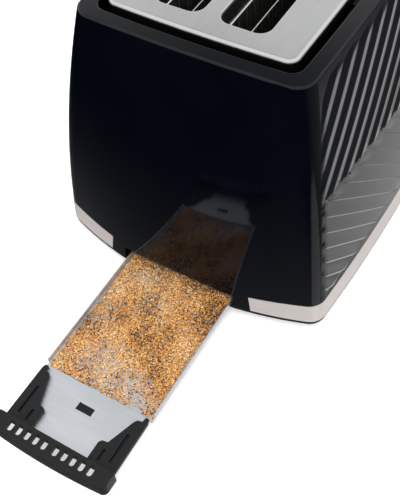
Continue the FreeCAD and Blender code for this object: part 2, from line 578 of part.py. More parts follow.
def push_button(side):
    x, half = side * BUTTON_PITCH, BUTTON_FLANGE_HALF
    cap = button_block(side, 0.0, BUTTON_FACE, BUTTON_BACK)
    rim = [e for e in cap.Edges if all(abs(v.Y - BUTTON_FACE) < 0.1 for v in e.Vertexes)]
    cap = cap.makeFillet(BUTTON_EDGE, rim)
    flange = box((x - half[0], x + half[0]), BUTTON_FLANGE_Y, (BUTTON_Z - half[1], BUTTON_Z + half[1]))
    stem = rod((x, BUTTON_FLANGE_Y[1] - 0.2, BUTTON_Z), (x, BOARD_Y - 5.8, BUTTON_Z), BUTTON_STEM_R)
    return fused([cap, flange, stem])


# --- Crumb tray ---
def crumb_tray():
    """Thin metal pan: side lips, a raised fold, and a plain plate into the handle."""
    z, top = TRAY_Z, TRAY_Z + TRAY_SHEET
    whole = (-TRAY_HALF, TRAY_HALF)
    parts = [box(whole, (TRAY_Y[0], TRAY_FOLD), (z, top))]
    for sx in (-1, 1):
        lip = sorted((sx * TRAY_HALF, sx * (TRAY_HALF - TRAY_SHEET)))
        parts.append(box(lip, (TRAY_Y[0], TRAY_FOLD - 3), (top, TRAY_LIP)))
    parts.append(box(whole, (TRAY_Y[0], TRAY_Y[0] + TRAY_SHEET), (top, TRAY_LIP)))
    half, raised, fold = TRAY_HALF - TRAY_PLATE_INSET, top + TRAY_STEP, TRAY_FOLD - TRAY_SHEET
    parts.append(box((-half, half), (fold, TRAY_FOLD), (top, raised)))
    plate = box((-half, half), (fold, TRAY_Y[1]), (raised - TRAY_SHEET, raised))
    hole_half, hole_y = LATCH_HOLE
    parts.append(plate.cut(box((-hole_half, hole_half), hole_y, (0, FAR))))
    return fused(parts)


def arm_outline(sx):
    """Plan of one side arm of the handle, from its narrow tip back to the bar."""
    points = [(36.8, 234.0), (36.0, 231.6), (34.0, 231.6), (33.6, 234.8), (31.0, 235.2),
              (29.6, 237.0), (23.6, 254.2), (20.2, 254.8), (18.8, 256.6), (18.8, 270.0),
              (36.8, 270.0)]
    return [(sx * x, y) for x, y in points]


def handle_arm(sx, low):
    """Side arm on the tray's plate, with two sunk grooves."""
    arm = slab(arm_outline(sx), low, low + ARM_T)
    for x, y0, y1 in ARM_GROOVES:
        xs = sorted((sx * (x - GROOVE_HALF), sx * (x + GROOVE_HALF)))
        arm = arm.cut(box(xs, (y0, y1), (low + ARM_RECESS, FAR)))
    return arm


def handle_bar():
    """Bowed bar with round front corners, hollow from below."""
    disc = Part.makeCylinder(BAR_BOW, BAR_Z[1] - BAR_Z[0], V(0, BAR_Y[1] - BAR_BOW, BAR_Z[0]), Z_AXIS)
    bar = box((-BAR_HALF, BAR_HALF), (BAR_Y[0], BAR_Y[1] + 5), BAR_Z).common(disc)
    ends = [e for e in bar.Edges if abs(e.Vertexes[0].X) > BAR_HALF - 1 and e.Vertexes[0].Y > BAR_Y[0] + 6]
    corners = [e for e in ends if abs(e.Vertexes[0].Z - e.Vertexes[1].Z) > 5]
    bar = bar.makeFillet(BAR_CORNER, corners)
    top_edge = [e for e in bar.Edges if min(v.Z for v in e.Vertexes) > BAR_Z[1] - 0.1
                and max(v.Y for v in e.Vertexes) > BAR_Y[0] + 6]
    bar = bar.makeFillet(BAR_EDGE, top_edge)
    half = BAR_HALF - BAR_WALL
    return bar.cut(box((-half, half), (BAR_Y[0] - 1, BAR_Y[1] - BAR_WALL), (0, BAR_Z[1] - BAR_WALL)))


def tray_handle():
    """Moulded handle: two stepped arms on the plate and a slotted bar across the end."""
    low, half = TRAY_Z + TRAY_SHEET + TRAY_STEP, BAR_HALF - BAR_WALL
    back = box((-half, half), (BAR_Y[0], BAR_Y[0] + BAR_BACK), (low, BAR_Z[1] - BAR_WALL))
    handle = handle_bar().multiFuse([handle_arm(-1, low), handle_arm(1, low), back])
    for sx in (-1, 1):
        for k in range(HOLE_COUNT):
            x = sx * (HOLE_FIRST + HOLE_PITCH * k)
            handle = handle.cut(rounded_slot((x - HOLE_HALF, x + HOLE_HALF), HOLE_Y, (0, 30), HOLE_R))
    return handle


def tray_latch_pad():
    half, ys = LATCH_PAD
    return box((-half, half), ys, (TRAY_Z + 0.2, TRAY_Z + TRAY_SHEET + TRAY_STEP - 0.7))


def tray_rail(sx):
    """Angle on the base that keeps the tray straight."""
    inner, outer = TRAY_HALF + RAIL_X[0], TRAY_HALF + RAIL_X[1]
    over, low, top, high = RAIL_LIP
    upright = box(sorted((sx * inner, sx * outer)), RAIL_Y, (BASE_FLOOR, TRAY_LIP + top))
    lip = sorted((sx * (TRAY_HALF - over), sx * outer))
    return upright.fuse(box(lip, RAIL_Y, (TRAY_LIP + low, TRAY_LIP + high)))


# --- The assembly ---
def housing_parts():
    parts = {"shell": shell(), "base": base(), "top_plate": top_plate(), "cord_gland": cord_gland()}
    right = strip_ring(-STRIP_PROUD, STRIP_SEAT).common(box((-FAR, 0), (-FAR, FAR), (0, FAR)))
    parts["right_accent_strip"] = right
    parts["left_accent_strip"] = mirrored_x(right)
    gap_x, gap_y = RIM_OPENING[0] - 0.3, RIM_OPENING[1] - 0.75
    parts["rear_plate_clip"] = plate_clip((0, gap_y), True)
    parts["front_plate_clip"] = plate_clip((0, -gap_y), True)
    parts["left_plate_clip"] = plate_clip((gap_x, CLIP_SIDE_Y), False)
    parts["right_plate_clip"] = plate_clip((-gap_x, CLIP_SIDE_Y), False)
    for end, sy in (("front", -1), ("rear", 1)):
        y = CHAMBER_Y[0] - SCREW_BEHIND if sy < 0 else CHAMBER_Y[1] + SCREW_BEHIND
        for side, sx in (("left", 1), ("right", -1)):
            parts[end + "_" + side + "_foot"] = foot(sx, sy)
            parts[end + "_" + side + "_screw"] = chassis_screw(sx, y)
    return parts


def chamber_parts():
    parts = {"front_end_plate": end_plate(CHAMBER_Y[0], -1), "rear_end_plate": end_plate(CHAMBER_Y[1], 1),
             "centre_heater_card": heater_card(0.0)}
    for name, sx in (("left", 1), ("right", -1)):
        parts[name + "_heat_shield"] = heat_shield(sx)
        parts[name + "_heater_card"] = heater_card(sx * CARD_X)
        parts[name + "_outer_ribbon"] = heater_ribbon(sx * CARD_X, -sx)
        parts[name + "_inner_ribbon"] = heater_ribbon(0.0, sx)
        parts[name + "_inner_guide"] = bread_guide(sx, 0)
        parts[name + "_outer_guide"] = bread_guide(sx, 1)
        parts[name + "_bread_lifter"] = lifter(sx)
        parts[name + "_tray_rail"] = tray_rail(sx)
    return parts


def working_parts():
    makers = (carriage_bracket, armature, lever_knob, lift_spring, guide_rod, rod_bracket,
              magnet_bracket, magnet_core, magnet_coil, control_board, dial_potentiometer,
              browning_dial, dial_pointer, crumb_tray, tray_handle, tray_latch_pad)
    parts = {maker.__name__: maker() for maker in makers}
    for name, side in (("cancel", -1), ("reheat", 0), ("frozen", 1)):
        parts[name + "_button"] = push_button(side)
        parts[name + "_switch"] = button_switch(side)
    return parts


def main():
    os.makedirs("parts", exist_ok=True)
    for name, shape in {**housing_parts(), **chamber_parts(), **working_parts()}.items():
        if shape.ShapeType == "Compound" and len(shape.Solids) == 1:
            shape = shape.Solids[0]
        shape.exportStep("parts/" + name + ".step")
        print(name, len(shape.Solids), shape.isValid(), round(shape.Volume, 1), flush=True)


main()
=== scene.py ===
"""Pop up toaster: materials, ribs, crumbs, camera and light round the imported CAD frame."""
import math

import bmesh
import bpy
import numpy as np
from mathutils import Matrix, Vector
from mathutils.bvhtree import BVHTree


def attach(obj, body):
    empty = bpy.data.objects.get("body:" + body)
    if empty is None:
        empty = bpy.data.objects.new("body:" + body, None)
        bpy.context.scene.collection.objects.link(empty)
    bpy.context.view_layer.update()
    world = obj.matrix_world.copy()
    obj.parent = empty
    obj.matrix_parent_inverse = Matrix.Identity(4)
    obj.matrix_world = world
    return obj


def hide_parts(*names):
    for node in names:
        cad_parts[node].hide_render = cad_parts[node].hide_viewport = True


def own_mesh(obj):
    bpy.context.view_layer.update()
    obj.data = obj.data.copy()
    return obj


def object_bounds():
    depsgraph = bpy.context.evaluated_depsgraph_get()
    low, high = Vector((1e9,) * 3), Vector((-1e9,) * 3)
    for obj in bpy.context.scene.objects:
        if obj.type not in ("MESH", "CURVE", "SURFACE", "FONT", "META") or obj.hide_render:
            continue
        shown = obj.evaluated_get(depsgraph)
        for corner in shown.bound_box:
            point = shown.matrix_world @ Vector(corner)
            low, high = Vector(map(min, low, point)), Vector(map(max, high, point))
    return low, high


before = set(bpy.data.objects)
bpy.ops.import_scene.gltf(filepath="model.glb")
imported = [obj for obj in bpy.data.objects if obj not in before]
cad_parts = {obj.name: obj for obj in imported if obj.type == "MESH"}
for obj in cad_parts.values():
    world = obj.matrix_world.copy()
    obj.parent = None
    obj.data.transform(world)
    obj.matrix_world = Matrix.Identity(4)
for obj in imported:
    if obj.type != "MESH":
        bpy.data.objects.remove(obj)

CAD_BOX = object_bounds()
MM = 0.001


# --- Node helpers ---
def new_node(tree, kind, **inputs):
    node = tree.nodes.new(kind)
    for name, value in inputs.items():
        node.inputs[name.replace("_", " ")].default_value = value
    return node


def place(tree, stretch=(1.0, 1.0, 1.0)):
    """Object coordinates in metres, stretched."""
    source = tree.nodes.new("ShaderNodeTexCoord")
    mapping = new_node(tree, "ShaderNodeMapping", Scale=stretch)
    tree.links.new(source.outputs["Object"], mapping.inputs["Vector"])
    return mapping.outputs["Vector"]


def grain(tree, scale, stretch=(1.0, 1.0, 1.0), detail=3.0, distortion=0.0):
    node = new_node(tree, "ShaderNodeTexNoise", Scale=scale, Detail=detail, Distortion=distortion)
    tree.links.new(place(tree, stretch), node.inputs["Vector"])
    return node.outputs["Fac"]


def flakes(tree, scale, feature="F1", stretch=(1.0, 1.0, 1.0)):
    node = new_node(tree, "ShaderNodeTexVoronoi", Scale=scale)
    node.feature = feature
    tree.links.new(place(tree, stretch), node.inputs["Vector"])
    return node.outputs["Distance"]


def ramp(tree, factor, stops):
    node = tree.nodes.new("ShaderNodeValToRGB")
    elements = node.color_ramp.elements
    while len(elements) < len(stops):
        elements.new(0.5)
    for element, (position, colour) in zip(elements, stops):
        element.position = position
        element.color = (*colour, 1.0)
    tree.links.new(factor, node.inputs["Fac"])
    return node.outputs["Color"]


def spread(tree, factor, low, high, start=0.3, end=0.7, smooth=False):
    node = tree.nodes.new("ShaderNodeMapRange")
    if smooth:
        node.interpolation_type = "SMOOTHSTEP"
    for name, value in (("From Min", start), ("From Max", end), ("To Min", low), ("To Max", high)):
        node.inputs[name].default_value = value
    tree.links.new(factor, node.inputs["Value"])
    return node.outputs["Result"]


def sums(tree, operation, a, b):
    node = tree.nodes.new("ShaderNodeMath")
    node.operation = operation
    for slot, value in zip(node.inputs, (a, b)):
        if isinstance(value, (int, float)):
            slot.default_value = value
        else:
            tree.links.new(value, slot)
    return node.outputs["Value"]


def relief(tree, shader, layers):
    """Chains bumps, given as (height, strength, distance in metres), into the shader's normal."""
    last = None
    for height, strength, distance in layers:
        node = new_node(tree, "ShaderNodeBump", Strength=strength, Distance=distance)
        tree.links.new(height, node.inputs["Height"])
        if last is not None:
            tree.links.new(last, node.inputs["Normal"])
        last = node.outputs["Normal"]
    tree.links.new(last, shader.inputs["Normal"])


def surface(name, **constants):
    material = bpy.data.materials.new(name)
    material.use_nodes = True
    tree = material.node_tree
    shader = tree.nodes["Principled BSDF"]
    for key, value in constants.items():
        shader.inputs[key.replace("_", " ")].default_value = value
    return material, tree, shader


def finish_surface(tree, shader, colour, roughness, layers):
    tree.links.new(colour, shader.inputs["Base Color"])
    tree.links.new(roughness, shader.inputs["Roughness"])
    relief(tree, shader, layers)


# --- Materials ---
def gloss_black():
    """High gloss moulded plastic with a faint moulding ripple."""
    material, tree, shader = surface("gloss_black", Specular_IOR_Level=0.3, IOR=1.5)
    cloud = grain(tree, 38.0, detail=4.0)
    colour = ramp(tree, cloud, [(0.3, (0.0006, 0.0010, 0.0025)), (0.7, (0.0012, 0.0018, 0.0037))])
    rough = spread(tree, grain(tree, 210.0), 0.045, 0.085)
    finish_surface(tree, shader, colour, rough, [(grain(tree, 320.0), 0.05, 0.00003)])
    return material


def satin_black(name="satin_black", tone=1.0):
    """Moulded plastic with a fine spark-eroded grain."""
    material, tree, shader = surface(name, Specular_IOR_Level=0.32)
    fine = grain(tree, 2600.0, detail=2.0)
    low = (0.016 * tone, 0.0175 * tone, 0.020 * tone)
    high = (0.027 * tone, 0.029 * tone, 0.033 * tone)
    colour = ramp(tree, sums(tree, "MULTIPLY", fine, spread(tree, grain(tree, 60.0), 0.85, 1.15)),
                  [(0.3, low), (0.7, high)])
    rough = spread(tree, grain(tree, 420.0), 0.40, 0.54)
    finish_surface(tree, shader, colour, rough, [(fine, 0.35, 0.00006)])
    return material


def rose_metal():
    """Rose grey brushed metal foil; the brushing runs along the strip."""
    material, tree, shader = surface("rose_metal", Metallic=0.25, Specular_IOR_Level=0.5)
    streak = grain(tree, 26.0, stretch=(1.0, 1.0, 90.0), detail=5.0)
    colour = ramp(tree, streak, [(0.28, (0.49, 0.442, 0.430)), (0.72, (0.59, 0.541, 0.529))])
    rough = spread(tree, streak, 0.34, 0.50)
    finish_surface(tree, shader, colour, rough, [(streak, 0.12, 0.00004)])
    return material


def brushed_steel(name, stretch, tint, rough_range, speckle=0.0, painted_shade_z=None):
    """Steel with brushing drawn out by stretch; the last argument, when given, is the span of heights
    under which a painted shade darkens the skirt downwards.
    """
    material, tree, shader = surface(name, Metallic=0.92, Specular_IOR_Level=0.5)
    streak = grain(tree, 34.0, stretch=stretch, detail=6.0)
    cloud = grain(tree, 24.0, detail=3.0)
    mixed = sums(tree, "ADD", sums(tree, "MULTIPLY", streak, 0.55), sums(tree, "MULTIPLY", cloud, 0.45))
    dark = tuple(c * 0.90 for c in tint)
    colour = ramp(tree, mixed, [(0.34, dark), (0.66, tint)])
    # Painted shade: the plate's skirt is darkened below the given heights.
    if painted_shade_z:
        colour = painted_skirt_shade(tree, colour, *painted_shade_z)
    rough = spread(tree, mixed, *rough_range)
    layers = [(streak, 0.10, 0.00004)]
    if speckle:
        layers.append((flakes(tree, 900.0), speckle, 0.00004))
    finish_surface(tree, shader, colour, rough, layers)
    return material


def painted_skirt_shade(tree, colour, low, high):
    """Colour darkened under the height high: a painted shade on the plate's skirt, standing in for the
    dark of the shell's black rim and the gap that the skirt faces.
    """
    split = tree.nodes.new("ShaderNodeSeparateXYZ")
    tree.links.new(place(tree), split.inputs["Vector"])
    mix = tree.nodes.new("ShaderNodeMix")
    mix.data_type = "RGBA"
    # Near black colour of the painted shade.
    mix.inputs["A"].default_value = (0.03, 0.03, 0.03, 1.0)
    tree.links.new(colour, mix.inputs["B"])
    tree.links.new(spread(tree, split.outputs["Z"], 0.0, 1.0, low, high, True), mix.inputs["Factor"])
    return mix.outputs["Result"]


def plain_metal(name, low, high, rough_range, scale=600.0, metallic=1.0):
    """Plated or cast metal: colour, roughness and a shallow relief from two grains."""
    material, tree, shader = surface(name, Metallic=metallic)
    fine, broad = grain(tree, scale), grain(tree, scale * 0.1)
    mixed = sums(tree, "MULTIPLY", sums(tree, "ADD", fine, broad), 0.5)
    colour = ramp(tree, mixed, [(0.35, low), (0.65, high)])
    finish_surface(tree, shader, colour, spread(tree, broad, *rough_range), [(fine, 0.15, 0.00005)])
    return material


def foot_rubber():
    material, tree, shader = surface("foot_rubber", Specular_IOR_Level=0.25, Sheen_Weight=0.15)
    fine = grain(tree, 1800.0)
    colour = ramp(tree, fine, [(0.3, (0.010, 0.010, 0.010)), (0.7, (0.022, 0.022, 0.022))])
    finish_surface(tree, shader, colour, spread(tree, fine, 0.75, 0.92), [(fine, 0.4, 0.0001)])
    return material


def mica():
    """Pressed mica card: thin pale flakes in a dark brown ground."""
    material, tree, shader = surface("mica", Specular_IOR_Level=0.4)
    cells = flakes(tree, 260.0)
    colour = ramp(tree, cells, [(0.1, (0.034, 0.032, 0.029)), (0.6, (0.013, 0.012, 0.011))])
    rough = spread(tree, grain(tree, 300.0), 0.28, 0.60)
    finish_surface(tree, shader, colour, rough, [(cells, 0.25, 0.0001)])
    return material


def circuit_board():
    material, tree, shader = surface("board", Specular_IOR_Level=0.5, Coat_Weight=0.3, Coat_Roughness=0.2)
    tracks = flakes(tree, 240.0, feature="DISTANCE_TO_EDGE")
    colour = ramp(tree, tracks, [(0.05, (0.020, 0.160, 0.055)), (0.14, (0.006, 0.060, 0.022))])
    rough = spread(tree, grain(tree, 500.0), 0.30, 0.45)
    finish_surface(tree, shader, colour, rough, [(tracks, 0.2, 0.00004)])
    return material


def coil_copper():
    """Enamelled winding: fine turns round the coil's upright axis."""
    material, tree, shader = surface("coil_copper", Metallic=0.85, Coat_Weight=0.5, Coat_Roughness=0.15)
    wave = new_node(tree, "ShaderNodeTexWave", Scale=420.0, Distortion=0.6)
    wave.bands_direction = "Z"
    tree.links.new(place(tree), wave.inputs["Vector"])
    turns = wave.outputs["Fac"]
    colour = ramp(tree, turns, [(0.1, (0.16, 0.045, 0.018)), (0.8, (0.62, 0.24, 0.10))])
    finish_surface(tree, shader, colour, spread(tree, turns, 0.42, 0.25), [(turns, 0.6, 0.0002)])
    return material


def pointer_white():
    material, tree, shader = surface("pointer_white", Specular_IOR_Level=0.4)
    fine = grain(tree, 1500.0)
    colour = ramp(tree, fine, [(0.3, (0.62, 0.62, 0.60)), (0.7, (0.76, 0.76, 0.74))])
    finish_surface(tree, shader, colour, spread(tree, fine, 0.40, 0.55), [(fine, 0.1, 0.00004)])
    return material


def toasted():
    """Crumbs: each grain has its own shade, from pale crust to burnt, mottled inside the grain."""
    material, tree, shader = surface("toasted", Specular_IOR_Level=0.25, Subsurface_Weight=0.08)
    shader.inputs["Subsurface Radius"].default_value = (0.0012, 0.0006, 0.0003)
    shade = tree.nodes.new("ShaderNodeAttribute")
    shade.attribute_name = "shade"
    mottle = sums(tree, "MULTIPLY", sums(tree, "SUBTRACT", grain(tree, 1700.0), 0.5), 0.30)
    factor = sums(tree, "ADD", shade.outputs["Fac"], mottle)
    colour = ramp(tree, factor, [
        (0.00, (0.030, 0.010, 0.008)), (0.12, (0.150, 0.046, 0.014)), (0.26, (0.450, 0.165, 0.036)),
        (0.46, (0.790, 0.385, 0.100)), (0.72, (0.930, 0.560, 0.210)), (1.00, (0.985, 0.820, 0.540))])
    rough = spread(tree, grain(tree, 900.0), 0.62, 0.9)
    finish_surface(tree, shader, colour, rough, [(grain(tree, 2400.0), 0.35, 0.0002)])
    return material


def make_materials():
    streaks_y = (40.0, 1.0, 40.0)
    return {
        "gloss_black": gloss_black(),
        "satin_black": satin_black("satin_black", 0.5),
        "handle_black": satin_black("handle_black", 0.30),
        "rose_metal": rose_metal(),
        # The top plate's skirt gets a painted shade below 174.5 to 175.7 mm.
        "top_steel": brushed_steel("top_steel", streaks_y, (0.60, 0.605, 0.605), (0.30, 0.40),
                                   painted_shade_z=(0.1745, 0.1757)),
        "tray_steel": brushed_steel("tray_steel", (1.0, 12.0, 1.0), (0.74, 0.77, 0.81), (0.36, 0.48),
                                    speckle=0.12),
        "foot_rubber": foot_rubber(),
        "screw_steel": plain_metal("screw_steel", (0.30, 0.30, 0.30), (0.48, 0.48, 0.47), (0.25, 0.4)),
        "plated_steel": plain_metal("plated_steel", (0.24, 0.24, 0.235), (0.38, 0.38, 0.37), (0.34, 0.5)),
        "clip_black": plain_metal("clip_black", (0.010, 0.010, 0.011), (0.022, 0.022, 0.024), (0.3, 0.45)),
        "chrome_wire": plain_metal("chrome_wire", (0.55, 0.55, 0.54), (0.75, 0.75, 0.74), (0.12, 0.24)),
        "mica": mica(),
        "heater_alloy": plain_metal("heater_alloy", (0.16, 0.13, 0.11), (0.34, 0.30, 0.27), (0.35, 0.55)),
        "board": circuit_board(),
        "dark_component": satin_black("dark_component", 0.8),
        "coil_copper": coil_copper(),
        "core_iron": plain_metal("core_iron", (0.10, 0.10, 0.10), (0.22, 0.22, 0.21), (0.4, 0.6)),
        "pointer_white": pointer_white(),
        "toasted": toasted(),
    }


FINISH_OF = {
    "gloss_black": ("shell",),
    "satin_black": ("base", "lever_knob", "browning_dial", "cancel_button", "reheat_button",
                    "frozen_button", "cord_gland"),
    "handle_black": ("tray_handle", "tray_latch_pad"),
    "rose_metal": ("left_accent_strip", "right_accent_strip"),
    "top_steel": ("top_plate",),
    "tray_steel": ("crumb_tray",),
    "foot_rubber": ("front_left_foot", "front_right_foot", "rear_left_foot", "rear_right_foot"),
    "screw_steel": ("front_left_screw", "front_right_screw", "rear_left_screw", "rear_right_screw",
                    "guide_rod", "lift_spring"),
    "plated_steel": ("front_end_plate", "rear_end_plate", "left_heat_shield", "right_heat_shield",
                     "left_tray_rail", "right_tray_rail", "carriage_bracket", "rod_bracket",
                     "magnet_bracket"),
    "clip_black": ("front_plate_clip", "rear_plate_clip", "left_plate_clip", "right_plate_clip"),
    "chrome_wire": ("left_inner_guide", "left_outer_guide", "right_inner_guide", "right_outer_guide",
                    "left_bread_lifter", "right_bread_lifter"),
    "mica": ("left_heater_card", "right_heater_card", "centre_heater_card"),
    "heater_alloy": ("left_outer_ribbon", "right_outer_ribbon", "left_inner_ribbon",
                     "right_inner_ribbon"),
    "board": ("control_board",),
    "dark_component": ("dial_potentiometer", "cancel_switch", "reheat_switch", "frozen_switch"),
    "coil_copper": ("magnet_coil",),
    "core_iron": ("magnet_core", "armature"),
    "pointer_white": ("dial_pointer",),
}


def dress_nodes(finishes):
    """Puts a finish in the material slots of each CAD node."""
    for finish, names in FINISH_OF.items():
        for name in names:
            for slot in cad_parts[name].material_slots:
                slot.link = "OBJECT"
                slot.material = finishes[finish]


# --- Surfaces of the shell ---
def surface_tree(name):
    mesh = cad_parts[name].data
    points = [v.co.copy() for v in mesh.vertices]
    return BVHTree.FromPolygons(points, [tuple(p.vertices) for p in mesh.polygons])


def side_x(tree, sx, y, z):
    """X of the shell's outer side at (y, z), in metres."""
    return tree.ray_cast(Vector((sx * SIDE_FROM, y, z)), Vector((-sx, 0.0, 0.0)))[0].x


# --- Rib panels on the long sides: millimetres, a rib's phase from 0 to 1, heights as a share ---
MID_Z, MID_SLOPE = 96.0, 0.075
PANEL_Z = (26.9, 171.2)
# Height, and how far the panel reaches towards each end there.
REAR_LIMIT = ((26.9, 127.0), (32.5, 126.8), (75.0, 124.5),
              (109.4, 120.1), (138.5, 114.4), (171.2, 105.8))
CREST_AT, CREST_STEP = 108.8, 16.2
RISE_ANGLE = {"upper": 42.0, "lower": -39.5}
PROFILE = ((0.0, 0.0), (0.05, 0.05), (0.46, 0.94), (0.51, 1.0), (0.56, 0.94), (0.95, 0.05), (1.0, 0.0))
LOWER_PROFILE = ((0.0, 0.0), (0.14, 0.01), (0.28, 0.06), (0.42, 0.15), (0.56, 0.28), (0.68, 0.42),
                 (0.77, 0.53), (0.84, 0.56), (0.91, 0.47), (1.0, 0.0))
CREST_T, RIB_HEIGHT, RIB_BASE = 0.51, 0.88, 0.10
LOWER_REACH = 9.0
FIRST_RIB_END, RIB_SUNK = 4.0, 0.22
CROSS_START, CROSS_STEP, RIB_FADE = 1.0, 3.0, {"upper": 4.0, "lower": 7.0}
PANEL_BACK = 1.34
CUT_TOLERANCE, MERGE_DISTANCE, BOX_MARGIN = 1e-5, 2e-6, 0.00006
SIDE_FROM = 0.2  # metres off the middle, where the rays at the shell's side start
MID_SEARCH = (130.0, 100.0, -0.05)


def rear_limit(z):
    """How far the panel reaches towards each end at height z."""
    for (z0, y0), (z1, y1) in zip(REAR_LIMIT, REAR_LIMIT[1:]):
        if z <= z1:
            return y0 + (y1 - y0) * (z - z0) / (z1 - z0)
    return REAR_LIMIT[-1][1]


def zone_frame(zone):
    """Unit directions along a rib and across it towards the rear, as (y, z), and the pitch."""
    angle = math.radians(RISE_ANGLE[zone])
    sign = 1.0 if zone == "upper" else -1.0
    along = (-math.cos(angle), math.sin(angle))
    across = (sign * math.sin(angle), sign * math.cos(angle))
    pitch = CREST_STEP * (across[0] + MID_SLOPE * across[1])
    return along, across, pitch


def rib_phase(zone, y, z):
    """Ribs between the first crest's rib and (y, z); the fraction is the place within a rib."""
    across, pitch = zone_frame(zone)[1:]
    crest_z = mid_line(CREST_AT)
    s = (y - CREST_AT) * across[0] + (z - crest_z) * across[1]
    return s / pitch + CREST_T


def profile_height(phase, points):
    """Height of a rib's cross section, from a list of (phase, height)."""
    t = phase - math.floor(phase)
    for (t0, h0), (t1, h1) in zip(points, points[1:]):
        if t <= t1:
            return h0 + (h1 - h0) * (t - t0) / (t1 - t0)
    return 0.0


def mid_line(y):
    """Height of the line where the upper and the lower ribs meet."""
    return MID_Z + MID_SLOPE * y


def panel_outline(zone):
    """Corner points (y, z) of one zone of the panel."""
    limits = [(y, z) for z, y in REAR_LIMIT]
    mid_y = next(y for y in np.arange(*MID_SEARCH) if y <= rear_limit(mid_line(y)))
    mid_rear, mid_front = (mid_y, mid_line(mid_y)), (-mid_y, mid_line(-mid_y))
    if zone == "lower":
        rear = [(y, z) for y, z in limits if z < mid_line(y)]
        return [(-y, z) for y, z in reversed(rear)] + rear + [mid_rear, mid_front]
    rear = [(y, z) for y, z in limits if mid_line(y) < z]
    front = [(-y, z) for y, z in limits if z > mid_line(-y)]
    return [mid_front, mid_rear] + rear + list(reversed(front))


def cut_by_lines(mesh, across, positions):
    """Cuts a flat (y, z) mesh by parallel lines, at the given distances along across."""
    normal = Vector((across[0], across[1], 0.0))
    for position in positions:
        geometry = mesh.verts[:] + mesh.edges[:] + mesh.faces[:]
        bmesh.ops.bisect_plane(mesh, geom=geometry, plane_co=normal * position, plane_no=normal,
                               dist=CUT_TOLERANCE)


def edge_distance(y, z):
    """Distance in mm from the nearest edge of the panel."""
    rear = rear_limit(z) - abs(y)
    return max(0.0, min(rear, z - PANEL_Z[0], PANEL_Z[1] - z))


def build_zone(zone):
    """Flat mesh of one zone, cut along the ribs and across them: lists of (y, z) and faces."""
    along, across, pitch = zone_frame(zone)
    mesh = bmesh.new()
    outline = panel_outline(zone)
    mesh.faces.new([mesh.verts.new((y, z, 0.0)) for y, z in outline])
    crest_z = mid_line(CREST_AT)
    offset = CREST_AT * across[0] + crest_z * across[1] - CREST_T * pitch
    lows = [y * across[0] + z * across[1] for y, z in outline]
    first, last = math.floor((min(lows) - offset) / pitch), math.ceil((max(lows) - offset) / pitch)
    lines = [offset + (k + t) * pitch for k in range(first, last + 1)
             for t in sorted({point[0] for point in PROFILE[:-1] + LOWER_PROFILE[1:-1]})]
    cut_by_lines(mesh, across, [v for v in lines if min(lows) < v < max(lows)])
    ends = [y * along[0] + z * along[1] for y, z in outline]
    cut_by_lines(mesh, along, list(np.arange(min(ends) + CROSS_START, max(ends), CROSS_STEP)))
    points = [(v.co.x, v.co.y) for v in mesh.verts]
    mesh.verts.index_update()
    faces = [[v.index for v in f.verts] for f in mesh.faces]
    mesh.free()
    return points, faces


def smooth_step(value, low, high):
    t = min(1.0, max(0.0, (value - low) / (high - low)))
    return t * t * (3.0 - 2.0 * t)


def rib_relief(zone, y, z):
    """Height in mm of the panel over the shell's side."""
    phase = rib_phase(zone, y, z)
    height = profile_height(phase, PROFILE)
    if zone == "lower":
        below = smooth_step(mid_line(y) - z, 0.0, LOWER_REACH)
        height += (profile_height(phase, LOWER_PROFILE) - height) * below
    fade = smooth_step(edge_distance(y, z), 0.0, RIB_FADE[zone])
    if zone == "upper" and phase > FIRST_RIB_END:
        fade = 0.0
    return (RIB_BASE + RIB_HEIGHT * height) * fade - RIB_SUNK * (1.0 - fade)


def rib_panel(name, sx, tree, material):
    limit = CAD_BOX[1].x - BOX_MARGIN
    mesh = bmesh.new()
    for zone in ("upper", "lower"):
        points, faces = build_zone(zone)
        verts = []
        for y, z in points:
            x = side_x(tree, sx, y * MM, z * MM)
            x = abs(x) + rib_relief(zone, y, z) * MM
            verts.append(mesh.verts.new((sx * min(x, limit), y * MM, z * MM)))
        for face in faces:
            mesh.faces.new([verts[i] for i in face])
    bmesh.ops.remove_doubles(mesh, verts=mesh.verts[:], dist=MERGE_DISTANCE)
    bmesh.ops.recalc_face_normals(mesh, faces=mesh.faces[:])
    if sum(f.normal.x * f.calc_area() for f in mesh.faces) * sx < 0:
        bmesh.ops.reverse_faces(mesh, faces=mesh.faces[:])
    close_behind(mesh, sx)
    for face in mesh.faces:
        face.smooth = True
    return as_object(name, mesh, material, "housing")


def close_behind(mesh, sx):
    """Gives the panel a back inside the shell's wall, so that it is a closed solid."""
    front = mesh.faces[:]
    made = bmesh.ops.duplicate(mesh, geom=front)
    back = [g for g in made["geom"] if isinstance(g, bmesh.types.BMFace)]
    for vert in {v for f in back for v in f.verts}:
        vert.co.x -= sx * PANEL_BACK * MM
    bmesh.ops.reverse_faces(mesh, faces=back)
    rims = [e for e in mesh.edges if e.is_boundary]
    bmesh.ops.bridge_loops(mesh, edges=rims)


def as_object(name, mesh, material, body):
    """Object from a bmesh, which rides body and takes its finish from slot."""
    data = bpy.data.meshes.new(name)
    mesh.to_mesh(data)
    mesh.free()
    data.materials.append(material)
    obj = bpy.data.objects.new(name, data)
    bpy.context.scene.collection.objects.link(obj)
    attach(obj, body)
    return obj


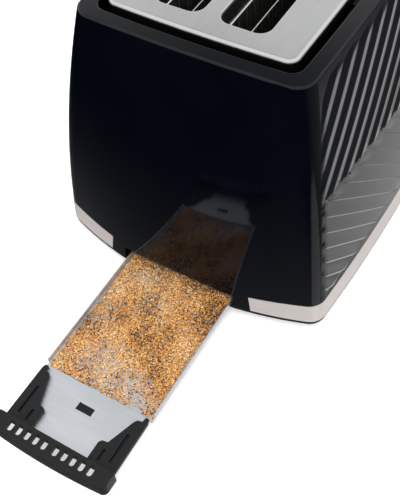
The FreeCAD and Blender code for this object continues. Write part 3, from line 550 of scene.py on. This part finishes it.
# --- Crumbs on the tray ---
FLOOR_TOP = 8.0  # top of the tray's sheet
CRUMB_X, CRUMB_Y = 36.2, (80.0, 229.5)
GRAIN_COUNT, GRAIN_SIZE, GRAIN_FLAT = 34000, (0.32, 0.92), 0.6
GRAIN_LIFT, GRAIN_CLEAR = 0.3, 0.02
WAVE_COUNT, WAVE_SPREAD = 14, 0.11
EDGE_BAND, HIDDEN_END = 5.0, 136.0
BURNT_SHARE, CRUMB_SEED = 0.06, 11
OCTAHEDRON = np.array([(1, 0, 0), (-1, 0, 0), (0, 1, 0), (0, -1, 0), (0, 0, 1), (0, 0, -1)], float)
OCTA_FACES = np.array([(0, 2, 4), (2, 1, 4), (1, 3, 4), (3, 0, 4),
                       (2, 0, 5), (1, 2, 5), (3, 1, 5), (0, 3, 5)])


def density_field(rng):
    """Smooth random field over the tray: a sum of a few waves, from about -1 to 1."""
    waves = []
    while len(waves) < WAVE_COUNT:
        waves.append((rng.normal(0, WAVE_SPREAD, 2), rng.uniform(0, 2 * math.pi)))

    def value(x, y):
        total = sum(np.sin(k[0] * x + k[1] * y + phase) for k, phase in waves)
        return total / math.sqrt(WAVE_COUNT / 2)
    return value


def random_turns(rng, count):
    """Rotation matrices from random unit quaternions."""
    q = rng.normal(size=(count, 4))
    q /= np.linalg.norm(q, axis=1)[:, None]
    w, x, y, z = q.T
    rows = [[1 - 2 * (y * y + z * z), 2 * (x * y - z * w), 2 * (x * z + y * w)],
            [2 * (x * y + z * w), 1 - 2 * (x * x + z * z), 2 * (y * z - x * w)],
            [2 * (x * z - y * w), 2 * (y * z + x * w), 1 - 2 * (x * x + y * y)]]
    return np.array(rows).transpose(2, 0, 1)


def scatter(rng):
    """Places (x, y) of the grains in mm, fewer inside the body, and how deep the crumbs lie there."""
    field = density_field(rng)
    x = rng.uniform(-CRUMB_X, CRUMB_X, GRAIN_COUNT * 3)
    y = rng.uniform(*CRUMB_Y, GRAIN_COUNT * 3)
    edge = np.minimum(CRUMB_X - np.abs(x), CRUMB_Y[1] - y)
    chance = 0.86 + 0.24 * field(x, y) + 0.035 * np.clip(edge - EDGE_BAND, -EDGE_BAND, 0.0)
    chance = np.where(y < HIDDEN_END, chance * 0.25, chance)
    kept = np.flatnonzero(rng.uniform(0, 1, x.size) < chance)[:GRAIN_COUNT]
    return x[kept], y[kept], np.clip(chance[kept], 0.0, 1.0)


def toast_crumbs(material):
    """Thousands of small uneven grains in one mesh, each with its own shade."""
    rng = np.random.default_rng(CRUMB_SEED)
    x, y, depth = scatter(rng)
    count = x.size
    size = GRAIN_SIZE[0] + (GRAIN_SIZE[1] - GRAIN_SIZE[0]) * rng.beta(1.4, 3.0, count)
    shape = OCTAHEDRON[None] * rng.uniform(0.55, 1.25, (count, 6, 1)) * size[:, None, None]
    shape *= rng.uniform(0.55, 1.15, (count, 1, 3))
    shape = np.einsum("nij,nkj->nki", random_turns(rng, count), shape)
    shape[:, :, 2] *= GRAIN_FLAT
    lift = -shape[:, :, 2].min(axis=1) + rng.uniform(0, 1, count) * depth * GRAIN_LIFT
    centre = np.stack([x, y, FLOOR_TOP + GRAIN_CLEAR + lift], axis=1)
    points = (shape + centre[:, None, :]).reshape(-1, 3) * MM
    faces = (OCTA_FACES[None] + (np.arange(count) * 6)[:, None, None]).reshape(-1, 3)
    data = bpy.data.meshes.new("toast_crumbs")
    data.from_pydata(points.tolist(), [], faces.tolist())
    shade = rng.beta(2.0, 2.0, count) + 0.10 * density_field(rng)(x, y) - 0.03
    burnt = rng.uniform(0, 1, count) < BURNT_SHARE
    shade = np.clip(np.where(burnt, shade * 0.2, shade), 0.0, 1.0)
    attribute = data.attributes.new("shade", "FLOAT", "POINT")
    attribute.data.foreach_set("value", np.repeat(shade, 6).astype(np.float32))
    data.materials.append(material)
    obj = bpy.data.objects.new("toast_crumbs", data)
    bpy.context.scene.collection.objects.link(obj)
    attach(obj, "tray")
    return obj


# --- The carriage's spring ---
SPRING_Y, SPRING_SPAN, SPRING_RADIUS, SPRING_WIRE = -102.0, (7.0, 91.8), 4.3, 0.6
SPRING_TURNS, SPRING_STEPS, SPRING_SIDES, SPRING_CLOSED = 13, 26, 10, 1.3


def wound_spring(material):
    """Coil with closed end turns, which rides the carriage."""
    low, high = SPRING_SPAN[0] + SPRING_WIRE, SPRING_SPAN[1] - SPRING_WIRE
    turn = np.linspace(0.0, SPRING_TURNS, SPRING_TURNS * SPRING_STEPS + 1)
    height = np.interp(turn, (0.0, 1.0, SPRING_TURNS - 1.0, SPRING_TURNS),
                       (low, low + SPRING_CLOSED, high - SPRING_CLOSED, high))
    mesh = bmesh.new()
    rings = []
    for t, z in zip(turn, height):
        ring = []
        for k in range(SPRING_SIDES):
            side = 2 * math.pi * k / SPRING_SIDES
            radius = SPRING_RADIUS + SPRING_WIRE * math.cos(side)
            x, y = radius * math.cos(2 * math.pi * t), SPRING_Y + radius * math.sin(2 * math.pi * t)
            ring.append(mesh.verts.new(Vector((x, y, z + SPRING_WIRE * math.sin(side))) * MM))
        rings.append(ring)
    for first, second in zip(rings, rings[1:]):
        for k in range(SPRING_SIDES):
            after = (k + 1) % SPRING_SIDES
            mesh.faces.new((first[k], first[after], second[after], second[k]))
    mesh.faces.new(rings[0])
    mesh.faces.new(rings[-1])
    bmesh.ops.recalc_face_normals(mesh, faces=mesh.faces[:])
    for face in mesh.faces:
        face.smooth = len(face.verts) == 4
    obj = as_object("wound_spring", mesh, material, "carriage")
    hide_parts("lift_spring")
    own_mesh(obj)


# --- Floor, light and camera ---
FLOOR_HALF = 30.0


def floor():
    """Pale paper; gloss doesn't mirror it, because the world stands for it there."""
    mesh = bmesh.new()
    bmesh.ops.create_grid(mesh, x_segments=8, y_segments=8, size=FLOOR_HALF)
    data = bpy.data.meshes.new("floor")
    mesh.to_mesh(data)
    mesh.free()
    material, tree, shader = surface("floor_paper", Specular_IOR_Level=0.1, Emission_Strength=0.32)
    shader.inputs["Emission Color"].default_value = (1.0, 1.0, 0.985, 1.0)
    colour = ramp(tree, grain(tree, 300.0), [(0.3, (0.90, 0.90, 0.885)), (0.7, (0.92, 0.92, 0.905))])
    finish_surface(tree, shader, colour, spread(tree, grain(tree, 90.0), 0.8, 0.9),
                   [(grain(tree, 900.0), 0.02, 0.00005)])
    data.materials.append(material)
    obj = bpy.data.objects.new("floor", data)
    obj.visible_glossy = False
    bpy.context.scene.collection.objects.link(obj)


def aligned(tree, direction, target):
    """Cosine between the ray's direction and a fixed one."""
    parts = [sums(tree, "MULTIPLY", d, t) for d, t in zip(direction, Vector(target).normalized())]
    return sums(tree, "ADD", sums(tree, "ADD", parts[0], parts[1]), parts[2])


OVERHEAD, GLOW, FOOT_GLOW = (0.33, -0.50, 0.80), (-0.68, 0.25, -0.69), (-0.23, -0.365, -0.89)
HORIZON, SKY, LIT_SIDE = (-0.02, 0.05), 1.15, 0.95


def studio():
    """World light by direction: a bright room with a dark side, so that gloss has shape."""
    world = bpy.data.worlds.new("studio")
    bpy.context.scene.world = world
    world.use_nodes = True
    tree = world.node_tree
    source = tree.nodes.new("ShaderNodeTexCoord")
    split = tree.nodes.new("ShaderNodeSeparateXYZ")
    tree.links.new(source.outputs["Generated"], split.inputs["Vector"])
    x, y, z = (split.outputs[k] for k in "XYZ")
    sky = spread(tree, z, 0.0, SKY, *HORIZON, True)
    overhead = aligned(tree, (x, y, z), OVERHEAD)
    sky = sums(tree, "MULTIPLY", sky, spread(tree, overhead, 1.0, 0.22, 0.92, 0.985, True))
    towards = sums(tree, "MULTIPLY", sums(tree, "ADD", x, y), -0.7071)
    side = spread(tree, towards, 0.0, LIT_SIDE, 0.15, 0.72, True)
    steep = sums(tree, "ADD", z, sums(tree, "MULTIPLY", y, 0.35))
    table = spread(tree, steep, 1.0, 0.20, -0.80, -0.66, True)
    ground = spread(tree, z, 0.22, 0.0, -0.85, -0.45, True)
    table = sums(tree, "MULTIPLY", table, spread(tree, z, 0.45, 1.0, -0.78, -0.68, True))
    low = sums(tree, "MAXIMUM", sums(tree, "MULTIPLY", side, table), ground)
    glow = spread(tree, aligned(tree, (x, y, z), GLOW), 0.0, 0.75, 0.935, 0.967, True)
    foot = spread(tree, aligned(tree, (x, y, z), FOOT_GLOW), 0.0, 1.3, 0.955, 0.99, True)
    low = sums(tree, "MAXIMUM", sums(tree, "MAXIMUM", low, glow), foot)
    below = sums(tree, "MULTIPLY", low, spread(tree, z, 1.0, 0.0, *HORIZON, True))
    strength = sums(tree, "ADD", below, sky)
    background = tree.nodes["Background"]
    background.inputs["Color"].default_value = (1.0, 1.0, 1.0, 1.0)
    tree.links.new(strength, background.inputs["Strength"])


def soft_light(name, location, target, size, power):
    data = bpy.data.lights.new(name, "AREA")
    data.shape = "DISK"
    data.size = size
    data.energy = power
    light = bpy.data.objects.new(name, data)
    light.location = location
    light.rotation_mode = "QUATERNION"
    light.rotation_quaternion = (Vector(target) - Vector(location)).to_track_quat("-Z", "Y")
    light.visible_glossy = False
    light.visible_camera = False
    bpy.context.scene.collection.objects.link(light)


CAMERA_AT = (-181.01, 385.17, 435.91)
CAMERA_AZIMUTH, CAMERA_ELEVATION, CAMERA_ROLL = 33.727, 52.584, 4.222
CAMERA_LENS, SENSOR = 59.76, 36.0


def camera():
    """Camera from its place, heading, height angle and roll."""
    azimuth, elevation, roll = (math.radians(a) for a in (CAMERA_AZIMUTH, CAMERA_ELEVATION, CAMERA_ROLL))
    forward = Vector((math.sin(azimuth) * math.cos(elevation), -math.cos(azimuth) * math.cos(elevation),
                      -math.sin(elevation)))
    level = forward.cross(Vector((0, 0, 1))).normalized()
    down = forward.cross(level)
    right = level * math.cos(roll) + down * math.sin(roll)
    up = -(down * math.cos(roll) - level * math.sin(roll))
    data = bpy.data.cameras.new("camera")
    data.lens, data.sensor_width, data.sensor_fit = CAMERA_LENS, SENSOR, "AUTO"
    data.clip_start, data.clip_end = 0.01, 100.0
    obj = bpy.data.objects.new("camera", data)
    turn = Matrix((right, up, -forward)).transposed()
    obj.matrix_world = Matrix.Translation(Vector(CAMERA_AT) * MM) @ turn.to_4x4()
    bpy.context.scene.collection.objects.link(obj)
    bpy.context.scene.camera = obj


# --- The scene ---
finishes = make_materials()
dress_nodes(finishes)
shell_tree = surface_tree("shell")
rib_panel("left_rib_panel", 1, shell_tree, finishes["gloss_black"])
rib_panel("right_rib_panel", -1, shell_tree, finishes["gloss_black"])
toast_crumbs(finishes["toasted"])
wound_spring(finishes["screw_steel"])
floor()
studio()
soft_light("key_light", (-0.35, 0.75, 1.3), (0.0, 0.05, 0.05), 0.9, 9.0)
camera()
bpy.context.scene.view_settings.view_transform = "Standard"
